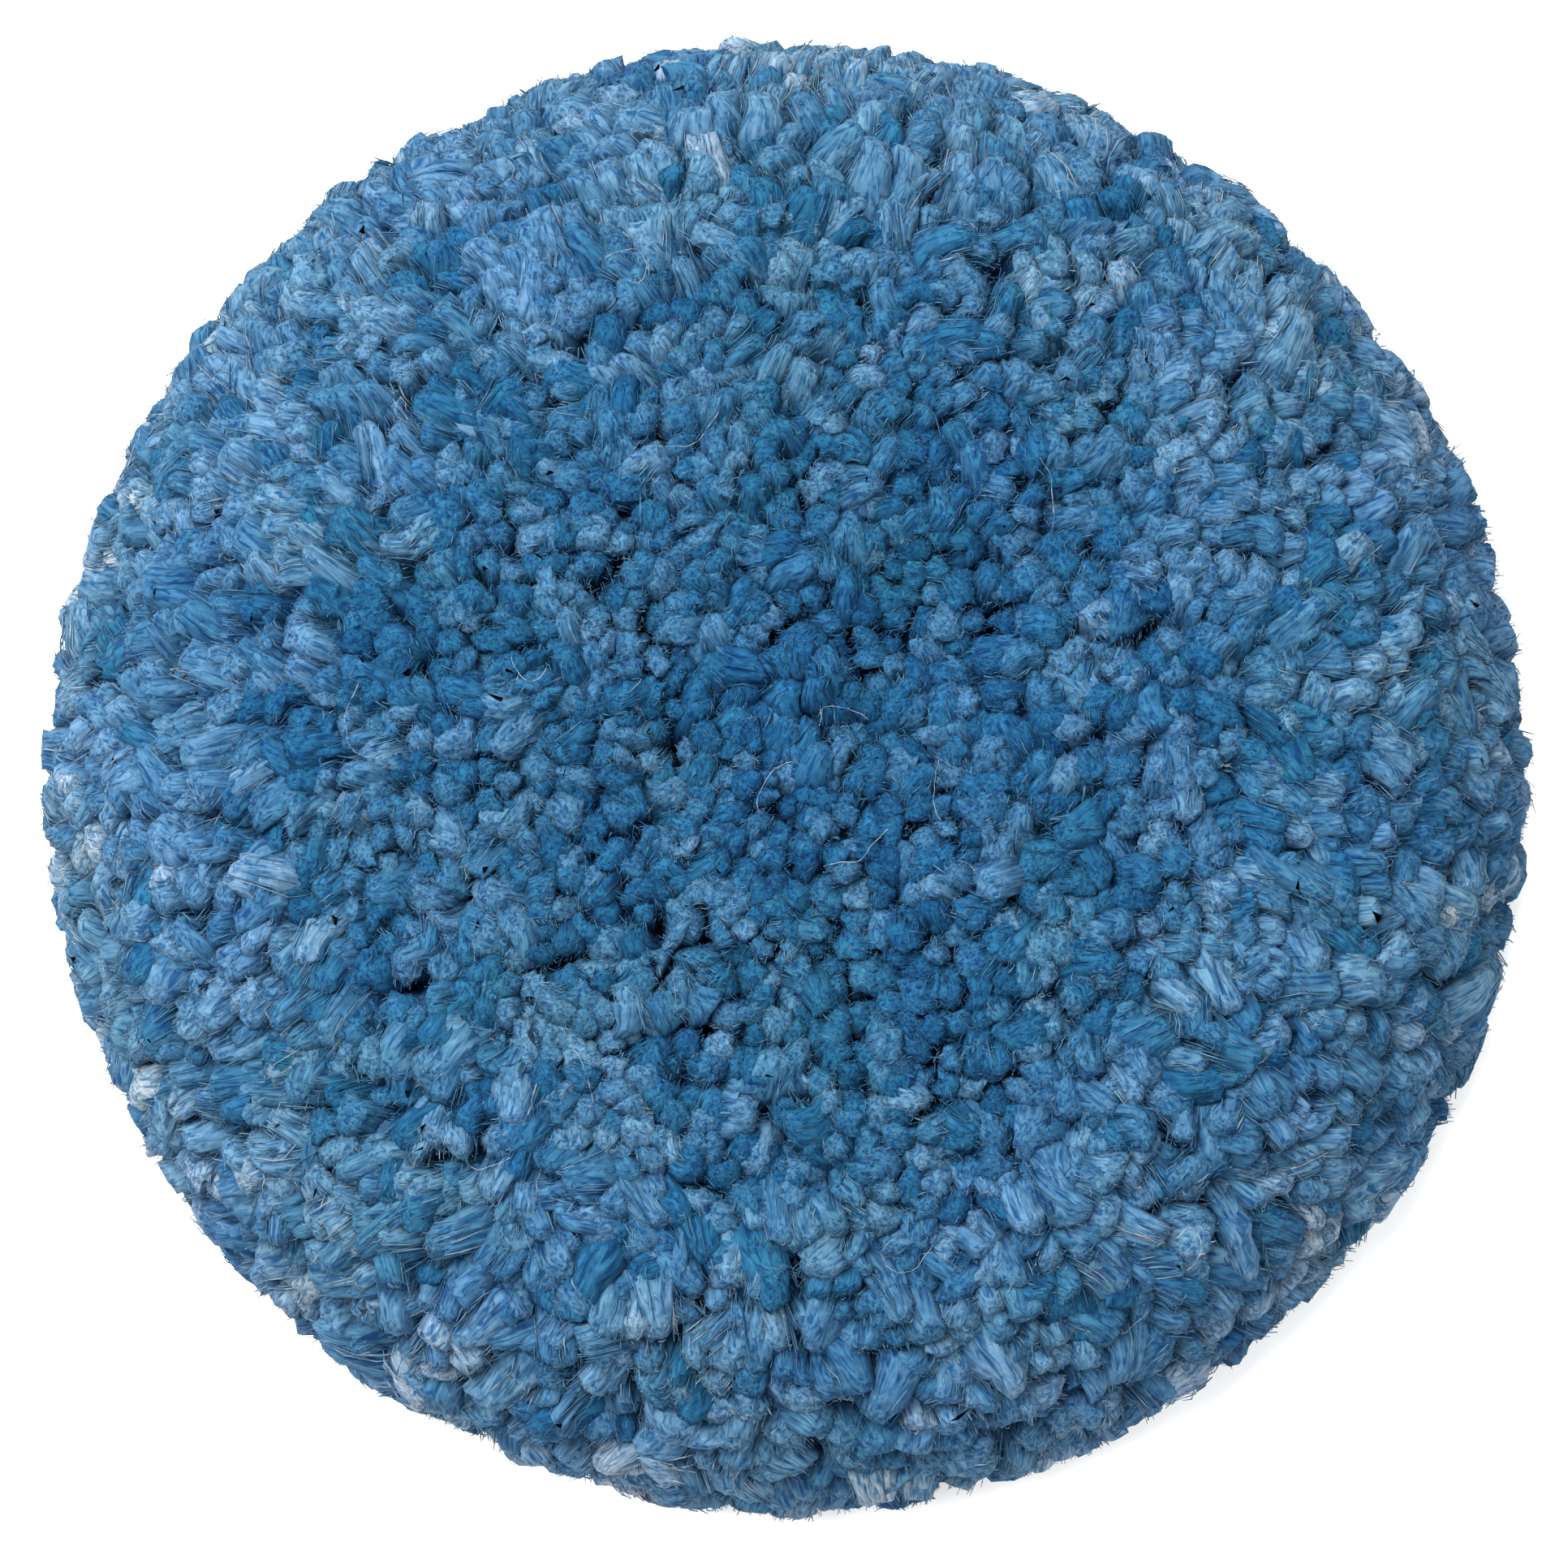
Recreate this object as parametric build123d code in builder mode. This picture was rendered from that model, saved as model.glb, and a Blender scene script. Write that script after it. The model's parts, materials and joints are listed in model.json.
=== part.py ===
from build123d import *
from math import acos, cos, pi, radians, sin
import os

# Wool polishing pad for a rotary machine: a disc of blended-wool pile on a dished cloth,
# with a brushed-loop disc in its recessed back that grips a hook-faced backing plate.
# Frame: +Z along the spin axis towards the working face, origin at the middle of the
# loop face, where the centring hole opens. Every round piece is a section in the XZ
# plane, revolved about Z. All sizes are in mm.

# Driving dimensions of the whole pad
pad_radius = 95.0  # over the tips of the rim tufts
face_height = 29.0  # tips of the working face above the loop face
centre_dip = 1.5  # how much lower the tips stand at the very middle
hole_radius = 11.0  # centring hole for the boss of a backing plate

# The layers from the loop face upwards
loop_radius = 74.0
loop_thickness = 1.8
film_radius = 73.4
film_thickness = 0.2
stiffener_radius = 72.6
stiffener_thickness = 1.4
foam_thickness = 5.0
latex_thickness = 0.6
cloth_thickness = 0.8

# The dish: flat out to flat_radius, then rolled back through a quarter turn
flat_radius = 64.0
recess_radius = 76.0  # inside of the rolled rim
foam_clearance = 0.3
edge_drop = 3.2  # straight bare edge of the cloth below the roll

# The pile
row_count = 18
row_gap = 0.2  # between the envelopes of two rows of tufts
tip_fan = radians(100)  # how far round the roll's centre the last tips reach
lean_power = 4  # how late, going outwards, the tufts start to lean
tip_steps = 4

# Binding tape and thread
tape_thickness = 0.6
tape_clearance = 0.4  # between the tape and the roots of the last row
thread = 0.5
stitch_length = 3.0
stitch_pitch = 4.2
seam_radius = 69.0
groove_width = 1.6
groove_depth = 0.7

# Heights and radii that follow
film_bottom = loop_thickness
stiffener_bottom = film_bottom + film_thickness
foam_bottom = stiffener_bottom + stiffener_thickness
latex_bottom = foam_bottom + foam_thickness
cloth_bottom = latex_bottom + latex_thickness
cloth_top = cloth_bottom + cloth_thickness
latex_roll = recess_radius - flat_radius
roll_height = latex_bottom - latex_roll  # height of the roll's centre
cloth_roll = latex_roll + latex_thickness
outer_roll = cloth_roll + cloth_thickness
face_reach = face_height - roll_height
rim_reach = pad_radius - flat_radius
root_path = flat_radius + outer_roll * pi / 2  # along the cloth, from the middle to the last roots
tip_path = flat_radius + (face_reach + rim_reach) / 2 * tip_fan  # the same at the tips
row_pitch = root_path / row_count
cloth_edge = roll_height - edge_drop
cloth_inner = flat_radius + cloth_roll
cloth_outer = flat_radius + outer_roll

os.makedirs("parts", exist_ok=True)


def save(piece, name):
    piece.part.label = name
    export_step(piece.part, f"parts/{name}.step")


def on_roll(reach, angle):
    """A point of the rim's section, reach from the roll's centre, angle round from +Z."""
    return (flat_radius + reach * sin(angle), roll_height + reach * cos(angle))


def root(distance):
    """The point of the cloth's outer face that lies this far out along the cloth."""
    if distance <= flat_radius:
        return (distance, cloth_top)
    return on_roll(outer_roll, (distance - flat_radius) / outer_roll)


def tip(distance):
    """The end of a tuft that is rooted this far out along the cloth. The tips have further
    to go round than the roots, so the tufts lean outwards, little at first, then more."""
    spread = tip_path - root_path
    along = distance + spread * (distance / root_path) ** lean_power
    if along <= flat_radius:
        return (along, face_height - centre_dip * (1 - along / flat_radius) ** 2)
    share = (along - flat_radius) / (tip_path - flat_radius)
    return on_roll(face_reach + share * (rim_reach - face_reach), share * tip_fan)


def root_line(inner, outer):
    """Draw a row's edge on the cloth: straight on the flat, an arc on the roll."""
    if inner < flat_radius:
        Line(root(inner), root(min(outer, flat_radius)))
    if outer > flat_radius:
        start = max(inner, flat_radius)
        ThreePointArc(root(start), root((start + outer) / 2), root(outer))


def tip_line(inner, outer):
    """Draw a row's edge at the tips, in short straight steps round the envelope."""
    Polyline(*[tip(inner + (outer - inner) * step / tip_steps) for step in range(tip_steps + 1)])


def flat_ring(outer_radius, bottom, thickness):
    """A flat disc with the centring hole through it."""
    with BuildPart() as ring:
        with BuildSketch(Plane.XY.offset(bottom)):
            Circle(outer_radius)
            Circle(hole_radius, mode=Mode.SUBTRACT)
        extrude(amount=thickness)
    return ring


def dished_layer(inner_roll, thickness, drop):
    """A layer that lies flat, then follows the rolled rim and hangs straight by drop."""
    reach = inner_roll + thickness
    with BuildPart() as layer:
        with BuildSketch(Plane.XZ):
            with BuildLine():
                Polyline((0, roll_height + inner_roll), (0, roll_height + reach),
                         (flat_radius, roll_height + reach))
                ThreePointArc((flat_radius, roll_height + reach), on_roll(reach, pi / 4),
                              on_roll(reach, pi / 2))
                if drop > 0:
                    Line(on_roll(reach, pi / 2), (flat_radius + reach, roll_height - drop))
                Line((flat_radius + reach, roll_height - drop),
                     (flat_radius + inner_roll, roll_height - drop))
                if drop > 0:
                    Line((flat_radius + inner_roll, roll_height - drop), on_roll(inner_roll, pi / 2))
                ThreePointArc(on_roll(inner_roll, pi / 2), on_roll(inner_roll, pi / 4),
                              (flat_radius, roll_height + inner_roll))
                Line((flat_radius, roll_height + inner_roll), (0, roll_height + inner_roll))
            make_face()
        revolve(axis=Axis.Z)
    return layer


# Loop disc: brushed nylon loop, with a pressed groove for its row of stitches
with BuildPart() as loop_disc:
    with BuildSketch():
        Circle(loop_radius)
        Circle(hole_radius, mode=Mode.SUBTRACT)
    extrude(amount=loop_thickness)
    with BuildSketch():
        Circle(seam_radius + groove_width / 2)
        Circle(seam_radius - groove_width / 2, mode=Mode.SUBTRACT)
    extrude(amount=groove_depth, mode=Mode.SUBTRACT)
save(loop_disc, "loop_disc")

# Adhesive film and the semi-rigid disc that keeps the pad flat on its plate
save(flat_ring(film_radius, film_bottom, film_thickness), "adhesive_film")
save(flat_ring(stiffener_radius, stiffener_bottom, stiffener_thickness), "stiffener_disc")

# Foam cushion: its edge is rounded to the inside of the rolled rim
foam_roll = latex_roll - foam_clearance
foam_turn = acos((foam_bottom - roll_height) / foam_roll)
with BuildPart() as foam_cushion:
    with BuildSketch(Plane.XZ):
        with BuildLine():
            Polyline(on_roll(foam_roll, foam_turn), (hole_radius, foam_bottom),
                     (hole_radius, latex_bottom), (flat_radius, latex_bottom), on_roll(foam_roll, 0))
            ThreePointArc(on_roll(foam_roll, 0), on_roll(foam_roll, foam_turn / 2),
                          on_roll(foam_roll, foam_turn))
        make_face()
    revolve(axis=Axis.Z)
save(foam_cushion, "foam_cushion")

# Latex coat that locks the tufts, and the woven cloth that they are driven through
save(dished_layer(latex_roll, latex_thickness, 0), "latex_coat")
save(dished_layer(cloth_roll, cloth_thickness, edge_drop), "backing_cloth")

# Binding tape, folded over the cloth's bare edge
tape_top = roll_height - tape_clearance
tape_bottom = cloth_edge - tape_thickness
tape_inner = cloth_inner - tape_thickness
tape_outer = cloth_outer + tape_thickness
with BuildPart() as edge_binding:
    with BuildSketch(Plane.XZ):
        with BuildLine():
            Polyline((cloth_inner, tape_top), (tape_inner, tape_top), (tape_inner, tape_bottom),
                     (tape_outer, tape_bottom), (tape_outer, tape_top), (cloth_outer, tape_top),
                     (cloth_outer, cloth_edge), (cloth_inner, cloth_edge), close=True)
        make_face()
    revolve(axis=Axis.Z)
save(edge_binding, "edge_binding")

# Stitches of the edge seam: straight ones, whose ends touch the tape's round inner leg
edge_seam_radius = (tape_inner**2 - (stitch_length / 2) ** 2) ** 0.5
edge_seam_height = (tape_top + cloth_edge) / 2
edge_stitch_count = round(2 * pi * tape_inner / stitch_pitch)
with BuildPart() as edge_seam:
    for turn in range(edge_stitch_count):
        angle = 360 * turn / edge_stitch_count
        with BuildSketch(Plane.XY.rotated((0, 0, angle)) * Plane(
                (edge_seam_radius, 0, edge_seam_height), x_dir=(0, 1, 0), z_dir=(-1, 0, 0))):
            SlotOverall(stitch_length, thread)
        extrude(amount=thread)
save(edge_seam, "edge_seam")

# Stitches of the loop seam: they lie in the groove, below the loop face
loop_stitch_count = round(2 * pi * seam_radius / stitch_pitch)
with BuildPart() as loop_seam:
    with BuildSketch(Plane.XY.offset(groove_depth - thread)):
        with PolarLocations(seam_radius, loop_stitch_count, start_angle=0):
            SlotOverall(stitch_length, thread, rotation=90)
    extrude(amount=thread)
save(loop_seam, "loop_seam")

# Pile: one closed ring for each row of tufts, from the cloth to the tufts' tips. The
# rows on the roll open like a fan.
for row in range(row_count):
    inner = row * row_pitch + (row_gap / 2 if row else 0)
    outer = (row + 1) * row_pitch - row_gap / 2
    with BuildPart() as tufts:
        with BuildSketch(Plane.XZ):
            with BuildLine():
                Line(root(inner), tip(inner))
                tip_line(inner, outer)
                Line(tip(outer), root(outer))
                root_line(inner, outer)
            make_face()
        revolve(axis=Axis.Z)
    save(tufts, f"tuft_row_{row + 1:02d}")
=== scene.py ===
import json
import math

import bpy
import numpy as np
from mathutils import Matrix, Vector

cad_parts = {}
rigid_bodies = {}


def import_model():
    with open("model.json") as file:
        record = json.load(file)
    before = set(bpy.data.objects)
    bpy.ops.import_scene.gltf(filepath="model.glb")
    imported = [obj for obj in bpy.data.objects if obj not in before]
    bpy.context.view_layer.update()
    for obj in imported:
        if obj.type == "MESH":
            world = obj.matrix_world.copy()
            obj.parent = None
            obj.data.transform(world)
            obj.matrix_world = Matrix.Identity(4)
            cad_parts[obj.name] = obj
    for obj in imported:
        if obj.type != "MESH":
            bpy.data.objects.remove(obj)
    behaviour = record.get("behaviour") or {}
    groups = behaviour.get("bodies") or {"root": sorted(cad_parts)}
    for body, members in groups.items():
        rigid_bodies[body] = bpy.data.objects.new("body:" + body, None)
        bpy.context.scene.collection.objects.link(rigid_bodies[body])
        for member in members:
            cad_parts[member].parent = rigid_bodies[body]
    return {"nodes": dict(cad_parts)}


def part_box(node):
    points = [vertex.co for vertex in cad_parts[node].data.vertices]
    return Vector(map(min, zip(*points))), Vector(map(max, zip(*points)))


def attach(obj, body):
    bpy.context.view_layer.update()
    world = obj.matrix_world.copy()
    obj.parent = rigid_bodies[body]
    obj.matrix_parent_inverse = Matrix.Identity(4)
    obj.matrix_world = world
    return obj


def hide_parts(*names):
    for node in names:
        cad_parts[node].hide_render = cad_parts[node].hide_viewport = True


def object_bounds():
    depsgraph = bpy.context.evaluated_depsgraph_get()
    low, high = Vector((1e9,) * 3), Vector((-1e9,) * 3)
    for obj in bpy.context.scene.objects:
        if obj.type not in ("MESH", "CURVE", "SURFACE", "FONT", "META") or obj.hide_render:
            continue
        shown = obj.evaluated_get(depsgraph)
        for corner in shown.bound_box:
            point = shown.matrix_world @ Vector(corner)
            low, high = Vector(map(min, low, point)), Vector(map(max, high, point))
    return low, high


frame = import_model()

# The looks of a blended-wool polishing pad: every tuft of its pile, its loop back, cloth,
# tape and seams. Lengths are in metres; MM turns millimetres into them. The spin axis is Z.
MM = 0.001
TURN = 2 * math.pi
cad_low, cad_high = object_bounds()
random = np.random.default_rng(20)

# ---------------------------------------------------------------- the pad's own sizes
cloth_low, cloth_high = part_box("backing_cloth")
roll_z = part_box("latex_coat")[0].z  # centre of the rolled rim's section
cloth_z = cloth_high.z
cloth_roll = cloth_z - roll_z
flat_r = cloth_high.x - cloth_roll
face_reach = cad_high.z - roll_z
rim_reach = cad_high.x - flat_r
tip_fan = math.acos((cad_low.z - roll_z) / rim_reach)
root_path = flat_r + cloth_roll * math.pi / 2
tip_path = flat_r + (face_reach + rim_reach) / 2 * tip_fan
row_nodes = sorted(name for name in frame["nodes"] if name.startswith("tuft_row_"))
row_pitch = root_path / len(row_nodes)
LEAN_POWER = 4
CENTRE_DIP = 1.5 * MM
HOLE_RADIUS = 11 * MM
CLOTH_THICKNESS = 0.8 * MM
LATEX_THICKNESS = 0.6 * MM
FOAM_GAP = 0.3 * MM
TAPE_THICKNESS = 0.6 * MM
PINHOLE = 0.02 * MM

# Tape, thread and nap
TAPE_RIBS = 380
EDGE_STITCHES = 114
LOOP_STITCHES = 103
SEAM_RADIUS = 69 * MM
STITCH_LENGTH = 3.0 * MM
PLY_RADIUS = 0.13 * MM
LOOP_HEIGHT = 0.5 * MM  # of the brushed loops below the knit
LOOP_COUNT = 5600
GROOVE_HALF = 0.8 * MM  # half the width of the loop disc's groove
GROOVE_DEPTH = 0.7 * MM

# The yarn: a tuft is a few plies; a ply is a soft core with strands over it and fuzz on its end
FACE_SPACING = 2.9 * MM  # between plies in the middle of the face
RIM_SPACING = 4.6 * MM  # and at the rim
CORE_SIDES = 14
CORE_STEPS = np.array([0.0, 0.4, 0.62, 0.76])
CORE_DOME = np.radians([0, 25, 50, 74])
STRANDS = 25  # for each ply
STRAND_RADIUS = 0.1 * MM
STRAND_STEPS = np.array([0.0, 0.4, 0.75, 1.0])
STRAND_TAPER = np.array([0.8, 1.0, 1.0, 0.5])
FUZZ = 18  # fine fibres for each ply
FUZZ_RADIUS = 0.042 * MM
FUZZ_STEPS = np.array([0.0, 0.5, 1.0])
HAIRS = 1  # long stray hairs for each piece of pile
HAIRS_END = 0.6  # how near the rim (0 in the middle, 1 at the last row) they still lie
PALEST = 0.72  # the palest dye a strand may have, on the scale of the dye ramp
PAINTED_SHADE_DEPTH = 8 * MM  # how far under the tips the painted shade on the yarn is at its darkest
MOST_HOOK = 4.0 * MM  # how far sideways the end of a ply may bend
HAIR_STEPS = 16
HAIR_RADIUS = 0.04 * MM
FRAY = np.array([0.05, 0.12, 0.15, 0.2]) * MM  # how far strands stray, at each of their steps
SHEARED = 1.0 * MM  # the pile is cut level, so that nothing stands out past this
ROOTED = 0.4 * MM  # how far into the cloth the foot of a ply may reach
GRAIN_ACROSS = 5.5  # streaks of fibre across a ply's radius
GRAIN_ALONG = 6.0  # and along its length
CLUMP_SPACING = 11 * MM

# Creases where the pile parts, given as start x, y and end x, y in mm, seen from above
CREASES = [
    (-5, 80, 5, 75),  # near the far rim
    (0, 5, 15, 0),  # in the middle
    (30, -5, 40, -15),
    (40, -35, 50, -45),
    (45, -55, 60, -60),
    (-55, -30, -50, -35),
]
CREASE_WIDTH = 2.6 * MM
CREASE_PART = 0.35 * MM  # how far the tips beside one move apart
CREASE_DEPTH = 2.2 * MM  # how far they sink

PIECE_PLIES = 170  # most plies in one mesh
MOST_GAPS = 500  # how many plies are measured against all the others at a time
TIP_ROUNDS = 8  # of pushing the tips apart when they are first placed
CLUMP_ROUNDS = 4  # and once more after they have been clumped
BEND_ROUNDS = 10  # of pushing the plies' bends apart
PAINTED_RIM_LIGHT = 0.32  # how much paler the yarn is painted at the rim than in the middle: painted sheen at the rim, painted shade in the middle


# ---------------------------------------------------------------- mesh helpers
def unit(vectors):
    return vectors / np.linalg.norm(vectors, axis=-1, keepdims=True)


def in_space(radius, height, turn):
    return np.stack([radius * np.cos(turn), radius * np.sin(turn), height], -1)


def tube_faces(count, steps, sides):
    """The side quads and end caps of closed tubes whose points are (tube, step, side)."""
    step, side = np.meshgrid(np.arange(steps - 1), np.arange(sides), indexing="ij")
    here = (step * sides + side).ravel()
    beside = (step * sides + (side + 1) % sides).ravel()
    quads = np.stack([here, beside, beside + sides, here + sides], 1)
    caps = np.stack([np.arange(sides)[::-1], np.arange(sides) + (steps - 1) * sides])
    first = (np.arange(count) * steps * sides)[:, None, None]
    return (quads + first).reshape(-1, 4), (caps + first).reshape(-1, sides)


def tubes(paths, radii, across, sides):
    """Closed tubes along paths (tube, step, xyz). Returns points, quads, end caps."""
    count, steps, _ = paths.shape
    along = np.empty_like(paths)
    along[:, 1:-1] = paths[:, 2:] - paths[:, :-2]
    along[:, 0] = paths[:, 1] - paths[:, 0]
    along[:, -1] = paths[:, -1] - paths[:, -2]
    along = unit(along)
    u = unit(np.cross(along, across[:, None, :]))
    v = np.cross(along, u)
    turns = np.arange(sides) * TURN / sides
    ring = u[:, :, None, :] * np.cos(turns)[:, None] + v[:, :, None, :] * np.sin(turns)[:, None]
    points = paths[:, :, None, :] + ring * radii[:, :, None, None]
    return points.reshape(-1, 3), *tube_faces(count, steps, sides)


def join(parts):
    """Join (points, face blocks, attributes) of several meshes into one."""
    points, blocks, attributes, start = [], [], {}, 0
    for part_points, part_blocks, part_attributes in parts:
        points.append(part_points)
        blocks += [block + start for block in part_blocks]
        for name, values in part_attributes.items():
            attributes.setdefault(name, []).append(values)
        start += len(part_points)
    return np.concatenate(points), blocks, {k: np.concatenate(v) for k, v in attributes.items()}


def make_piece(name, points, blocks, attributes, material, smooth=True):
    """A Blender object from numpy arrays; blocks are arrays of faces with equal sides."""
    mesh = bpy.data.meshes.new(name)
    mesh.vertices.add(len(points))
    mesh.vertices.foreach_set("co", points.astype(np.float32).ravel())
    corners = np.concatenate([block.ravel() for block in blocks]).astype(np.int32)
    sizes = np.concatenate([np.full(len(block), block.shape[1]) for block in blocks])
    mesh.loops.add(len(corners))
    mesh.loops.foreach_set("vertex_index", corners)
    mesh.polygons.add(len(sizes))
    mesh.polygons.foreach_set("loop_start", (np.cumsum(sizes) - sizes).astype(np.int32))
    mesh.polygons.foreach_set("use_smooth", np.full(len(sizes), smooth))
    for key, values in attributes.items():
        if values.ndim == 2:
            layer, field = mesh.attributes.new(key, "FLOAT_VECTOR", "POINT"), "vector"
        else:
            layer, field = mesh.attributes.new(key, "FLOAT", "POINT"), "value"
        layer.data.foreach_set(field, values.astype(np.float32).ravel())
    mesh.update(calc_edges=True)
    piece = bpy.data.objects.new(name, mesh)
    bpy.context.scene.collection.objects.link(piece)
    mesh.materials.append(material)
    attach(piece, "root")
    return piece


# ---------------------------------------------------------------- materials
def linear(red, green, blue):
    """A colour given as 0 to 255 screen values."""
    values = [value / 255 for value in (red, green, blue)]
    return [v / 12.92 if v <= 0.04045 else ((v + 0.055) / 1.055) ** 2.4 for v in values] + [1.0]


class Shader:
    """A Principled material that is built node by node."""

    def __init__(self, name, roughness, **settings):
        self.material = bpy.data.materials.new(name)
        self.material.use_nodes = True
        self.tree = self.material.node_tree
        self.base = self.tree.nodes["Principled BSDF"]
        self.base.inputs["Roughness"].default_value = roughness
        for socket, value in settings.items():
            self.base.inputs[socket.replace("_", " ")].default_value = value

    def node(self, kind, **inputs):
        node = self.tree.nodes.new("ShaderNode" + kind)
        for socket, value in inputs.items():
            target = node.inputs[socket.replace("_", " ")]
            if isinstance(value, bpy.types.NodeSocket):
                self.tree.links.new(value, target)
            else:
                target.default_value = value
        return node

    def place(self):
        return self.node("TexCoord").outputs["Object"]

    def attribute(self, name, output="Fac"):
        node = self.node("Attribute")
        node.attribute_name = name
        return node.outputs[output]

    def noise(self, scale, detail=3.0, vector=None, distortion=0.0):
        node = self.node("TexNoise", Scale=scale, Detail=detail, Distortion=distortion,
                         Vector=vector or self.place())
        return node.outputs["Fac"]

    def math(self, operation, *values):
        node = self.tree.nodes.new("ShaderNodeMath")
        node.operation = operation
        for socket, value in zip(node.inputs, values):
            if isinstance(value, bpy.types.NodeSocket):
                self.tree.links.new(value, socket)
            else:
                socket.default_value = value
        return node.outputs[0]

    def ramp(self, fac, stops):
        node = self.node("ValToRGB", Fac=fac)
        band = node.color_ramp
        while len(band.elements) < len(stops):
            band.elements.new(0.5)
        for element, (at, colour) in zip(band.elements, stops):
            element.position = at
            element.color = colour
        return node.outputs["Color"]

    def mix(self, kind, fac, a, b):
        node = self.tree.nodes.new("ShaderNodeMix")
        node.data_type = "RGBA"
        node.blend_type = kind
        for index, value in ((0, fac), (6, a), (7, b)):
            if isinstance(value, bpy.types.NodeSocket):
                self.tree.links.new(value, node.inputs[index])
            else:
                node.inputs[index].default_value = value
        return node.outputs[2]

    def colour(self, output):
        self.tree.links.new(output, self.base.inputs["Base Color"])

    def bump(self, height, strength, distance):
        node = self.node("Bump", Strength=strength, Distance=distance, Height=height)
        self.tree.links.new(node.outputs["Normal"], self.base.inputs["Normal"])


def wool_material():
    """Heathered blue wool: every strand has its own dye lot, with painted shade that darkens the yarn
    towards the root.
    """
    wool = Shader("blended_wool", 1.0, Specular_IOR_Level=0.08)
    dye = wool.ramp(wool.attribute("dye"), [
        (0.00, linear(4, 48, 78)),
        (0.30, linear(30, 78, 106)),
        (0.60, linear(86, 112, 133)),
        (0.85, linear(164, 159, 159)),
        (1.00, linear(190, 182, 178)),
    ])
    # Painted shade: the deeper the yarn lies under the pile's surface, the darker and bluer it is painted,
    # for the shade between the tufts and down at their roots.
    depth = wool.ramp(wool.attribute("depth"), [
        (0.0, linear(10, 66, 110)),
        (0.3, linear(56, 136, 186)),
        (0.72, linear(206, 222, 230)),
        (1.0, linear(255, 255, 255)),
    ])
    streaks = wool.ramp(wool.noise(1.0, 2.0, wool.attribute("grain", "Vector"), 0.8), [
        (0.34, linear(94, 148, 184)),
        (0.50, linear(206, 219, 225)),
        (0.64, linear(255, 255, 255)),
    ])
    patches = wool.ramp(wool.noise(55.0, 2.0), [
        (0.3, linear(226, 240, 254)),
        (0.7, linear(255, 255, 248)),
    ])
    mottle = wool.ramp(wool.noise(700.0, 2.0), [
        (0.3, linear(202, 216, 228)),
        (0.6, linear(255, 255, 255)),
    ])
    dye_with_painted_shade = wool.mix("MULTIPLY", 1.0, dye, depth)
    varied = wool.mix("MULTIPLY", 1.0, patches, mottle)
    wool.colour(wool.mix("MULTIPLY", 1.0, wool.mix("MULTIPLY", 1.0, dye_with_painted_shade, varied), streaks))
    return wool.material


def speckled(name, roughness, colours, scale, depth, **settings):
    """A material whose colour and relief follow the same noise; scale is its grain per metre."""
    made = Shader(name, roughness, **settings)
    grain = made.noise(scale, 4.0)
    blotches = made.math("MULTIPLY", made.noise(scale / 12, 2.0), 0.25)
    mixed = made.math("MULTIPLY_ADD", grain, 0.75, blotches)
    stops = zip((0.35, 0.5, 0.65), colours)
    made.colour(made.ramp(mixed, [(at, linear(*colour)) for at, colour in stops]))
    made.bump(grain, 0.7, depth)
    return made.material


def woven(name, roughness, colours, pitch, depth):
    """A plain weave of threads this far apart, over and under each other along X and Y."""
    made = Shader(name, roughness, Specular_IOR_Level=0.2)
    apart = made.node("SeparateXYZ", Vector=made.place())
    warp = made.math("SINE", made.math("MULTIPLY", apart.outputs["X"], math.pi / pitch))
    weft = made.math("SINE", made.math("MULTIPLY", apart.outputs["Y"], math.pi / pitch))
    over = made.math("MULTIPLY_ADD", made.math("MULTIPLY", warp, weft), 0.25, 0.3)
    height = made.math("MULTIPLY_ADD", made.noise(1.5 / pitch, 3.0), 0.4, over)
    stops = zip((0.25, 0.5, 0.75), colours)
    made.colour(made.ramp(height, [(at, linear(*colour)) for at, colour in stops]))
    made.bump(height, 0.8, depth)
    return made.material


# ---------------------------------------------------------------- the back
def dense(section, step):
    """A closed section with extra points, so that none of its sides is longer than step."""
    points = []
    for start, end in zip(section, section[1:] + section[:1]):
        start, end = np.array(start), np.array(end)
        pieces = max(1, math.ceil(np.linalg.norm(end - start) / step))
        points += [start + (end - start) * i / pieces for i in range(pieces)]
    return np.array(points)


def roll_arc(reach, start, end, steps=12):
    """Points round the centre of the rolled rim; angles run from +Z outwards."""
    angles = np.linspace(start, end, steps)
    return [(flat_r + reach * math.sin(angle), roll_z + reach * math.cos(angle)) for angle in angles]


def lathe(section, turns, relief):
    """A closed section of (radius, height), counter-clockwise, turned about Z. relief(turn,
    section) is how far each point stands out from the section. Returns points and quads."""
    turn = np.arange(turns)[:, None] * TURN / turns
    along = unit(np.roll(section, -1, 0) - np.roll(section, 1, 0))
    outwards = np.stack([along[:, 1], -along[:, 0]], 1)
    moved = section + outwards * relief(turn, section)[..., None]
    points = in_space(moved[..., 0], moved[..., 1], turn + np.zeros(moved.shape[:2]))
    i, j = np.meshgrid(np.arange(turns), np.arange(len(section)), indexing="ij")
    ahead, above = (i + 1) % turns, (j + 1) % len(section)
    corners = [(i, j), (ahead, j), (ahead, above), (i, above)]
    quads = np.stack([(a * len(section) + b).ravel() for a, b in corners], 1)
    return points.reshape(-1, 3), quads


def uneven(amount):
    """Relief with no pattern: each point stands out or in by about this much."""
    return lambda turn, section: random.normal(0, amount, (len(turn), len(section)))


def soft_piece(name, node, points, blocks, material):
    """A piece that stands for a soft CAD node."""
    piece = make_piece(name, points, blocks, {}, material)
    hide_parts(node)
    return piece


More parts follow.
